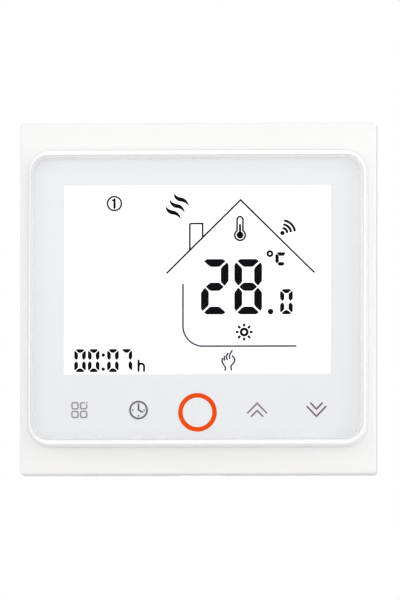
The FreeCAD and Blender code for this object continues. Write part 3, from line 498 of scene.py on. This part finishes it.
class Drawing:
    """Closed thin solids drawn in the XZ plane, in millimetres, collected into one mesh."""

    def __init__(self, front, rear):
        self.mesh = bmesh.new()
        self.front = front
        self.rear = rear

    def corner(self, x, y, z):
        return self.mesh.verts.new((x * MM, y, z * MM))

    def plate(self, points):
        """A filled outline."""
        front = [self.corner(x, self.front, z) for x, z in points]
        rear = [self.corner(x, self.rear, z) for x, z in points]
        self.mesh.faces.new(front)
        self.mesh.faces.new(rear[::-1])
        for number in range(len(points)):
            other = (number + 1) % len(points)
            self.mesh.faces.new((front[other], front[number], rear[number], rear[other]))

    def stroke(self, path, width, closed=False, round_ends=True):
        """A line of a given width, or of one width per point, along a path."""
        widths = [width] * len(path) if isinstance(width, (int, float)) else list(width)
        if round_ends and not closed:
            path, widths = with_round_ends(path, widths)
        rows = []
        for (x, z), (nx, nz), size in zip(path, side_ways(path, closed), widths):
            left_x, left_z = x + nx * size / 2, z + nz * size / 2
            right_x, right_z = x - nx * size / 2, z - nz * size / 2
            rows.append([self.corner(left_x, self.front, left_z), self.corner(right_x, self.front, right_z),
                         self.corner(right_x, self.rear, right_z), self.corner(left_x, self.rear, left_z)])
        pairs = list(zip(rows, rows[1:] + rows[:1])) if closed else list(zip(rows, rows[1:]))
        for near, far in pairs:
            for number in range(4):
                other = (number + 1) % 4
                self.mesh.faces.new((near[number], near[other], far[other], far[number]))
        if not closed:
            self.mesh.faces.new(rows[0][::-1])
            self.mesh.faces.new(rows[-1])

    def ring(self, x, z, radius, width):
        self.stroke(arc(x, z, radius, 0, 360, 72)[:-1], width, closed=True)

    def disc(self, x, z, radius):
        self.plate(arc(x, z, radius, 0, 360, 32)[:-1])

    def piece(self, name, material, body, slot):
        mesh_piece(name, self.mesh, material, body)


def mesh_piece(name, mesh, material, body):
    """A new object from a bmesh, with the material, riding on a body."""
    bmesh.ops.recalc_face_normals(mesh, faces=mesh.faces)
    data = bpy.data.meshes.new(name)
    mesh.to_mesh(data)
    mesh.free()
    made = bpy.data.objects.new(name, data)
    bpy.context.scene.collection.objects.link(made)
    data.materials.append(material)
    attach(made, body)
    return made


def polar(x, z, radius, angle):
    """The point at an angle in degrees and a distance from (x, z)."""
    turn = math.radians(angle)
    return x + radius * math.cos(turn), z + radius * math.sin(turn)


def arc(x, z, radius, start, end, steps=16):
    """Points on an arc, by angles in degrees from +X towards +Z."""
    angles = [math.radians(start + (end - start) * step / steps) for step in range(steps + 1)]
    return [(x + radius * math.cos(t), z + radius * math.sin(t)) for t in angles]


def side_ways(path, closed):
    """At each point the direction square to the path, lengthened at a corner so that the width holds."""
    found = []
    count = len(path)
    for number in range(count):
        before = path[number - 1] if closed or number else path[0]
        after = path[(number + 1) % count] if closed or number < count - 1 else path[-1]
        here = path[number]
        first = Vector((here[0] - before[0], here[1] - before[1]))
        second = Vector((after[0] - here[0], after[1] - here[1]))
        first = first.normalized() if first.length else second.normalized()
        second = second.normalized() if second.length else first
        middle = (first + second).normalized()
        reach = 1 / max(0.4, middle.dot(first))
        found.append((-middle.y * reach, middle.x * reach))
    return found


def with_round_ends(path, widths):
    """The path with a half circle of shrinking widths added at each end."""
    def cap(end, inner, width):
        away = Vector((end[0] - inner[0], end[1] - inner[1])).normalized()
        steps = [math.radians(angle) for angle in (25, 50, 70, 84)]
        return [((end[0] + away.x * math.sin(t) * width / 2, end[1] + away.y * math.sin(t) * width / 2),
                 width * math.cos(t)) for t in steps]

    head = cap(path[0], path[1], widths[0])[::-1]
    tail = cap(path[-1], path[-2], widths[-1])
    return ([p for p, _ in head] + list(path) + [p for p, _ in tail],
            [w for _, w in head] + widths + [w for _, w in tail])


def smooth(points, steps=8):
    """A curve through the points."""
    ends = [points[0], *points, points[-1]]
    curve = []
    for p0, p1, p2, p3 in zip(ends, ends[1:], ends[2:], ends[3:]):
        for step in range(steps):
            t = step / steps
            curve.append(tuple(
                0.5 * (2 * b + (c - a) * t + (2 * a - 5 * b + 4 * c - d) * t * t
                       + (3 * b - a - 3 * c + d) * t ** 3)
                for a, b, c, d in zip(p0, p1, p2, p3)))
    return curve + [points[-1]]


def softened(points, radius):
    """The closed outline with its corners rounded off."""
    made = []
    count = len(points)
    for number, here in enumerate(points):
        here = Vector(here)
        sides = [Vector(points[number - 1]) - here, Vector(points[(number + 1) % count]) - here]
        start, end = [here + side.normalized() * min(radius, side.length * 0.45) for side in sides]
        for t in (0.0, 0.25, 0.5, 0.75, 1.0):
            point = start * (1 - t) ** 2 + here * 2 * t * (1 - t) + end * t * t
            made.append((point.x, point.y))
    return made


SEGMENTS = {"0": "abcdef", "1": "bc", "2": "abged", "3": "abgcd", "4": "fgbc", "5": "afgcd", "6": "afgecd",
            "7": "abc", "8": "abcdefg"}


def segment_outlines(width, height, thick):
    """Outlines of a digit's seven segments, from its lower left corner."""
    w, h, t = width, height, thick
    top = [(0.36 * t, 0.26 * t), (0.74 * t, 0), (w - 0.74 * t, 0), (w - 0.36 * t, 0.26 * t),
           (w - 1.08 * t, 0.91 * t), (w - 1.3 * t, t), (1.3 * t, t), (1.08 * t, 0.91 * t)]
    side = [(0.2 * t, 0.4 * t), (0, 0.76 * t), (0, h / 2 - 0.76 * t), (0.5 * t, h / 2 - 0.1 * t),
            (0.86 * t, h / 2 - 0.46 * t), (t, h / 2 - 0.7 * t), (t, 1.3 * t), (0.88 * t, 1.05 * t)]
    half = [(0.6 * t, h / 2), (1.08 * t, h / 2 - 0.44 * t), (1.3 * t, h / 2 - 0.53 * t),
            (w - 1.3 * t, h / 2 - 0.53 * t), (w - 1.08 * t, h / 2 - 0.44 * t)]
    middle = half + [(w - x, h - v) for x, v in half]
    return {"a": [(x, h - v) for x, v in top], "d": top,
            "f": [(x, h - v) for x, v in side], "e": side,
            "b": [(w - x, h - v) for x, v in side], "c": [(w - x, v) for x, v in side],
            "g": middle}


def draw_digit(drawing, digit, x, z, width, height, thick):
    outlines = segment_outlines(width, height, thick)
    for letter in SEGMENTS[digit]:
        points = [(x + px, z + pz) for px, pz in outlines[letter]]
        drawing.plate(softened(points, thick * 0.1))


# ------------------------------------------------------------------ image on the display

def display_drawing():
    """A drawing on the front of the display's polariser."""
    front_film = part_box("polarisers")[0].y
    return Drawing(front_film - INK_PROUD * MM, front_film + INK_SUNK * MM)


def temperature(material):
    drawing = display_drawing()
    for digit, x in (("2", 0.89), ("8", 8.95)):
        draw_digit(drawing, digit, x, -3.69, 6.66, 13.36, 1.88)
    draw_digit(drawing, "0", 19.98, -3.7, 3.06, 6.1, 1.02)
    drawing.disc(17.69, -3.03, 0.68)
    drawing.ring(17.51, 10.96, 0.565, 0.54)
    drawing.piece("display_temperature", material, UNIT, "polariser_film")


def degree_letter(material):
    drawing = display_drawing()
    top = [(19.2, 11.1), (19.4, 11.3), (21.06, 11.3), (21.28, 11.07), (20.8, 10.43), (19.72, 10.43)]
    side = [(19.08, 10.97), (18.83, 10.6), (18.83, 8.95), (19.2, 8.6), (19.66, 9.0), (19.66, 10.4)]
    foot = [(19.32, 8.47), (19.72, 8.92), (20.72, 8.92), (21.08, 8.5), (20.76, 8.06), (19.65, 8.06)]
    for outline in (top, side, foot):
        drawing.plate(softened(outline, 0.05))
    drawing.piece("display_unit_letter", material, UNIT, "polariser_film")


def clock_time(material):
    drawing = display_drawing()
    for digit, x in (("0", -29.69), ("0", -26.39), ("0", -21.75), ("7", -18.47)):
        draw_digit(drawing, digit, x, -17.55, 2.81, 5.56, 0.91)
    for z in (-13.43, -16.84):
        drawing.disc(-22.68, z, 0.43)
    drawing.piece("display_time", material, UNIT, "polariser_film")


def hour_mark(material):
    drawing = display_drawing()
    drawing.stroke([(-14.15, -14.75), (-14.15, -17.28)], 0.52)
    arch = arc(-13.48, -16.2, 0.67, 180, 0, 12)
    drawing.stroke([*arch, (-12.81, -17.28)], 0.52)
    drawing.piece("display_hour_mark", material, UNIT, "polariser_film")


def period_mark(material):
    drawing = display_drawing()
    drawing.ring(-20.04, 23.17, 1.68, 0.4)
    drawing.stroke([(-20.02, 24.17), (-20.02, 22.12)], 0.54)
    drawing.stroke([(-20.02, 24.17), (-20.54, 23.92)], 0.38)
    drawing.piece("display_period_mark", material, UNIT, "polariser_film")


def heat_waves(material):
    drawing = display_drawing()
    wave = [(-5.64, 25.43), (-5.21, 24.73), (-4.46, 24.21), (-3.56, 24.01), (-2.81, 23.58), (-2.14, 22.73)]
    thickness = [(0.2,), (0.66,), (0.92,), (0.92,), (0.66,), (0.2,)]
    widths = [w for w, in smooth(thickness)]
    for number in range(3):
        path = [(x - 0.97 * number, z - 1.57 * number) for x, z in smooth(wave)]
        drawing.stroke(path, widths)
    drawing.piece("display_heat_waves", material, UNIT, "polariser_film")


def house_roof(material):
    drawing = display_drawing()
    drawing.stroke([(-7.31, 6.37), (10.42, 23.97), (28.13, 6.49)], 0.42)
    corner = arc(-1.47, 17.93, 0.35, 180, 90, 6)
    drawing.stroke([(-1.82, 12.0), *corner, (1.27, 18.28), (1.27, 15.1)], 0.42)
    drawing.piece("display_roof", material, UNIT, "polariser_film")


def house_walls(material):
    drawing = display_drawing()
    drawing.stroke([(-3.45, 3.6), *arc(1.45, -6.45, 4.9, 180, 270, 24), (23.8, -11.35)], 0.42)
    drawing.piece("display_walls", material, UNIT, "polariser_film")


def thermometer(material):
    drawing = display_drawing()
    x, bulb_z, tube, bulb = 10.3, 15.46, 0.71, 1.28
    neck = math.degrees(math.acos(tube / bulb))
    outline = arc(x, 19.2, tube, 0, 180, 16) + arc(x, bulb_z, bulb, 180 - neck, 360 + neck, 32)
    drawing.stroke(outline, 0.42, closed=True)
    drawing.disc(x, bulb_z, 0.84)
    drawing.stroke([(x, 16.0), (x, 17.9)], 0.52)
    drawing.piece("display_thermometer", material, UNIT, "polariser_film")


def network_mark(material):
    drawing = display_drawing()
    drawing.disc(20.53, 15.93, 0.54)
    for radius in (1.17, 2.07, 3.04):
        drawing.stroke(arc(20.53, 15.93, radius, 12, 78, 14), 0.6)
    drawing.piece("display_network_mark", material, UNIT, "polariser_film")


def sun(material):
    drawing = display_drawing()
    x, z = 11.32, -7.96
    drawing.ring(x, z, 0.76, 0.62)
    for number in range(8):
        inner, outer = [polar(x, z, radius, number * 45) for radius in (1.32, 2.06)]
        drawing.stroke([inner, outer], 0.58, round_ends=False)
    drawing.piece("display_sun", material, UNIT, "polariser_film")


def hand(material):
    drawing = display_drawing()
    thumb_side = [(6.06, -14.23), (6.06, -15.1), (6.5, -15.92), (6.84, -16.47), (6.72, -17.02)]
    fingers = [[(6.57, -13.7), (6.54, -14.2), (6.62, -14.61)],
               [(7.39, -12.95), (7.08, -13.7), (7.22, -14.47)],
               [(8.43, -12.27), (7.82, -13.43), (7.87, -14.25)]]
    palm_side = [(8.48, -13.58), (8.98, -14.25), (9.05, -14.81), (8.5, -15.6), (8.16, -16.06),
                 (8.28, -16.95)]
    for line in [thumb_side, *fingers, palm_side]:
        drawing.stroke([(x, z - 0.12) for x, z in smooth(line, 6)], 0.42)
    drawing.piece("display_hand", material, UNIT, "polariser_film")


# ------------------------------------------------------------------ keys

def key_drawing():
    """A drawing in the gap between the lens and the printed film."""
    film_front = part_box("printed_mask")[0].y
    return Drawing(film_front - INK_PROUD * MM, film_front + INK_SUNK * MM)


def power_ring(material):
    drawing = key_drawing()
    drawing.ring(0.1, -27.33, 4.11, 1.08)
    drawing.piece("power_ring", material, UNIT, "mask_grey")


def menu_key(material):
    drawing = key_drawing()
    size, stroke = 1.48, 0.3
    for sx in (-1, 1):
        for sz in (-1, 1):
            x, z = -28.41 + sx * 1.04, -26.73 + sz * 1.04
            left, right, low, high = x - size / 2, x + size / 2, z - size / 2, z + size / 2
            r = 0.38
            square = (arc(right - r, high - r, r, 20, 90, 5) + arc(left + r, high - r, r, 90, 180, 6)
                      + arc(left + r, low + r, r, 180, 270, 6) + arc(right - r, low + r, r, 270, 360, 6))
            if sx > 0 and sz > 0:
                drawing.stroke([(right - 0.55, high), *square[6:], (right, high - 0.55)], stroke)
                drawing.disc(right + 0.02, high + 0.02, 0.17)
            else:
                drawing.stroke(square, stroke, closed=True)
    drawing.piece("menu_key", material, UNIT, "mask_grey")


def clock_key(material):
    drawing = key_drawing()
    x, z = -14.13, -26.76
    drawing.ring(x, z, 2.04, 0.42)
    drawing.stroke([(x, z + 1.43), (x, z), (x + 0.97, z - 0.48)], 0.4)
    for angle in (0, 180, 270):
        drawing.disc(*polar(x, z, 1.38, angle), 0.2)
    drawing.piece("clock_key", material, UNIT, "mask_grey")


def arrow_key(name, x, outer, inner, material):
    """Two nested chevrons, each given as its apex and how far up its ends lie from that."""
    drawing = key_drawing()
    for reach, (apex, rise) in ((2.24, outer), (1.38, inner)):
        drawing.stroke([(x - reach, apex + rise), (x, apex), (x + reach, apex + rise)], 0.38)
    drawing.piece(name, material, UNIT, "mask_grey")


# ------------------------------------------------------------------ pieces behind and inside

def coil_rings(mesh, x, z, y, rise, radius, wire):
    """Rings of wire round a coil along Y, which lies flat for its first and last turns."""
    steps, turns, sides = 180, 5, 10
    rings = []
    for step in range(steps + 1):
        share = step / steps
        turn = share * turns * 2 * math.pi
        eased = min(1.0, max(0.0, (share - 0.12) / 0.76))
        at = Vector((x + radius * math.cos(turn), y + rise * eased, z + radius * math.sin(turn)))
        out = Vector((math.cos(turn), 0, math.sin(turn)))
        section = [at + out * wire * math.cos(t) + Vector((0, wire * math.sin(t), 0))
                   for t in (2 * math.pi * side / sides for side in range(sides))]
        rings.append([mesh.verts.new(point) for point in section])
    return rings


def touch_coils(material):
    """Smooth wound electrodes, with a closed turn at each end, in place of the plain ones."""
    low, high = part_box("touch_springs")
    wire, radius = 0.25 * MM, 2.95 * MM
    mesh = bmesh.new()
    for number in range(KEYS):
        x = (number - (KEYS - 1) / 2) * KEY_PITCH * MM
        rings = coil_rings(mesh, x, (low.z + high.z) / 2, low.y + 1.2 * wire, high.y - low.y - 2.4 * wire,
                           radius, wire)
        for near, far in zip(rings, rings[1:]):
            for side in range(len(near)):
                other = (side + 1) % len(near)
                mesh.faces.new((near[side], near[other], far[other], far[side])).smooth = True
        mesh.faces.new(rings[0][::-1])
        mesh.faces.new(rings[-1])
    made = mesh_piece("touch_coils", mesh, material, UNIT)
    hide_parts("touch_springs")


def terminal_numbers(material):
    """A printed digit above each terminal screw, turned to be read from behind."""
    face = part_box("terminal_block")[1].y
    drawing = Drawing(face + INK_PROUD * MM, face - INK_SUNK * MM)
    width, foot_z = 1.3, -18.2
    outlines = segment_outlines(width, 2.4, 0.34)
    for number in range(POLES):
        x = (number - (POLES - 1) / 2) * POLE_PITCH + width / 2
        for letter in SEGMENTS[str(number + 1)]:
            drawing.plate([(x - px, foot_z + pz) for px, pz in outlines[letter]])
    drawing.piece("terminal_numbers", material, BASE, "box_white")


# ------------------------------------------------------------------ floor, light and camera

def build_floor():
    level = cad_low.z - FLOOR_DROP
    corners = [(sx * FLOOR_HALF, sy * FLOOR_HALF, level) for sx, sy in ((-1, -1), (1, -1), (1, 1), (-1, 1))]
    mesh = bpy.data.meshes.new("floor")
    mesh.from_pydata(corners, [], [(0, 1, 2, 3)])
    floor = bpy.data.objects.new("floor", mesh)
    bpy.context.scene.collection.objects.link(floor)
    m = Maker("pale_floor")
    m.colour(m.mix(m.noise(0.01), (0.89, 0.89, 0.89, 1), (0.92, 0.92, 0.92, 1)))
    m.shader.inputs["Roughness"].default_value = 0.8
    mesh.materials.append(m.material)


def build_world():
    """A white studio. It lights the front more than the back, and the camera sees it as plain white."""
    world = bpy.data.worlds.new("studio")
    world.use_nodes = True
    bpy.context.scene.world = world
    tree = world.node_tree
    tree.nodes["Background"].inputs["Color"].default_value = (1.0, 1.0, 1.0, 1.0)
    coordinates = tree.nodes.new("ShaderNodeTexCoord")
    parts = tree.nodes.new("ShaderNodeSeparateXYZ")
    tree.links.new(coordinates.outputs["Generated"], parts.inputs[0])
    fade = tree.nodes.new("ShaderNodeMapRange")
    for socket, number in zip(("From Min", "From Max", "To Min", "To Max"), (-1.0, 1.0, *SKY_FRONT_BACK)):
        fade.inputs[socket].default_value = number
    tree.links.new(parts.outputs["Y"], fade.inputs["Value"])
    tree.links.new(fade.outputs["Result"], tree.nodes["Background"].inputs["Strength"])
    seen = tree.nodes.new("ShaderNodeBackground")
    seen.inputs["Color"].default_value = (1.0, 1.0, 1.0, 1.0)
    path = tree.nodes.new("ShaderNodeLightPath")
    mixed = tree.nodes.new("ShaderNodeMixShader")
    tree.links.new(path.outputs["Is Camera Ray"], mixed.inputs[0])
    tree.links.new(tree.nodes["Background"].outputs[0], mixed.inputs[1])
    tree.links.new(seen.outputs[0], mixed.inputs[2])
    tree.links.new(mixed.outputs[0], tree.nodes["World Output"].inputs["Surface"])


def area_light(name, place, size, power):
    """A square softbox that faces the middle of the object."""
    data = bpy.data.lights.new(name, "AREA")
    data.size = size
    data.energy = power
    light = bpy.data.objects.new(name, data)
    light.location = place
    light.rotation_mode = "QUATERNION"
    light.rotation_quaternion = (-Vector(place)).to_track_quat("-Z", "Y")
    bpy.context.scene.collection.objects.link(light)


def build_lights():
    area_light("overhead", (0.2, -0.25, 1.0), 0.50, 0.55)
    area_light("front", (0.05, -1.6, -0.05), 0.5, 2.0)
    area_light("right", (1.2, -0.28, 0.15), 0.6, 2.9)
    area_light("left", (-1.1, -0.7, 0.1), 0.6, 1.0)


def build_camera():
    """Almost straight on, from a little to the right and a little below, with a trace of roll."""
    azimuth, elevation, roll = math.radians(3.2), math.radians(-4.0), math.radians(0.07)
    distance = 3.6
    view_height = 144.7 * MM
    back = Vector((math.sin(azimuth) * math.cos(elevation), -math.cos(azimuth) * math.cos(elevation),
                   math.sin(elevation)))
    target = Vector((0.50 * MM, -8.3 * MM, 0.0))
    data = bpy.data.cameras.new("camera")
    data.sensor_width = 36.0
    data.lens = data.sensor_width * distance / view_height
    camera = bpy.data.objects.new("camera", data)
    camera.rotation_mode = "QUATERNION"
    camera.location = target + back * distance
    camera.rotation_quaternion = (-back).to_track_quat("-Z", "Y") @ Quaternion((0, 0, 1), roll)
    bpy.context.scene.collection.objects.link(camera)
    bpy.context.scene.camera = camera


def build():
    bpy.context.scene.view_settings.view_transform = "Standard"
    materials = slot_materials()
    dress_cad_nodes(materials)

    black = ink("crystal_black", linear(2, 2, 8)).material
    slate = ink("crystal_slate", linear(30, 32, 44)).material
    blue_grey = ink("crystal_blue_grey", linear(72, 76, 92)).material
    for draw in (temperature, degree_letter, clock_time, hour_mark, period_mark, heat_waves, thermometer,
                 network_mark, sun):
        draw(black)
    house_roof(slate)
    house_walls(blue_grey)
    hand(blue_grey)

    icon_grey = ink("icon_grey", linear(150, 146, 150)).material
    icon_plum = ink("icon_plum", linear(128, 100, 114)).material
    icon_rose = ink("icon_rose", linear(146, 124, 128)).material
    menu_key(icon_grey)
    clock_key(ink("icon_slate", linear(112, 108, 118)).material)
    arrow_key("up_key", 14.48, (-25.17, -2.31), (-26.96, -1.37), icon_rose)
    arrow_key("down_key", 28.78, (-28.36, 2.34), (-26.6, 1.43), icon_plum)
    power_ring(ink("ring_orange", linear(234, 76, 0), 0.6).material)

    touch_coils(materials["spring_steel"])
    terminal_numbers(materials["box_white"])
    build_floor()
    build_world()
    build_lights()
    build_camera()


build()
